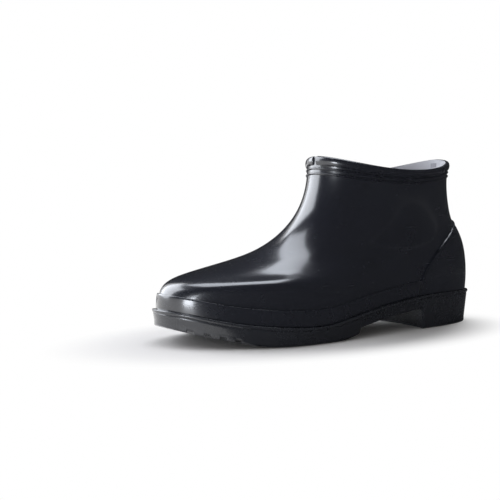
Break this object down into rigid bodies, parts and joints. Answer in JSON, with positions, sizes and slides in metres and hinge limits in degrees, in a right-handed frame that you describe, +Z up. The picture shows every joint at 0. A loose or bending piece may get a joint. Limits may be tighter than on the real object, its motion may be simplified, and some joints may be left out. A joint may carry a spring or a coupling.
{
  "type": "rubber rain boot",
  "caption": "Ankle-high slip-on rain boot in glossy black rubber for the left foot, with a dipped collar, foxing strip, heel counter, low block heel and pale knitted lining.",
  "frame": {"origin": "on the ground under the middle of the sole's plan box, with the boot standing on its heel and the flat of its tread", "axes": "+Z up, -Y towards the toe, +X towards the outer (lateral) side of the left foot"},
  "size_m": [0.1086, 0.285, 0.1343],
  "materials": {
    "sole_rubber": "satin moulded rubber",
    "gloss_rubber": "high gloss lacquered rubber",
    "core_rubber": "rubber crumb",
    "steel": "cold rolled",
    "board": "pressed fibre board",
    "felt": "needle felt",
    "stiffener": "matte reinforcing rubber",
    "foam": "closed cell foam",
    "knit": "knitted lining, pale grey"
  },
  "bodies": {
    "root": {"outsole": "sole_rubber", "heel_core": "core_rubber", "shank": "steel", "bottom_filler": "felt", "insole_board": "board", "footbed": "foam", "footbed_cover": "knit", "lining_sock": "knit", "lining_seam_tape": "knit", "toe_puff": "stiffener", "heel_stiffener": "stiffener", "upper": "gloss_rubber", "foxing_strip": "gloss_rubber", "heel_counter": "gloss_rubber", "collar_binding": "gloss_rubber", "collar_rib_upper": "gloss_rubber", "collar_rib_lower": "gloss_rubber"}
  },
  "joints": []
}
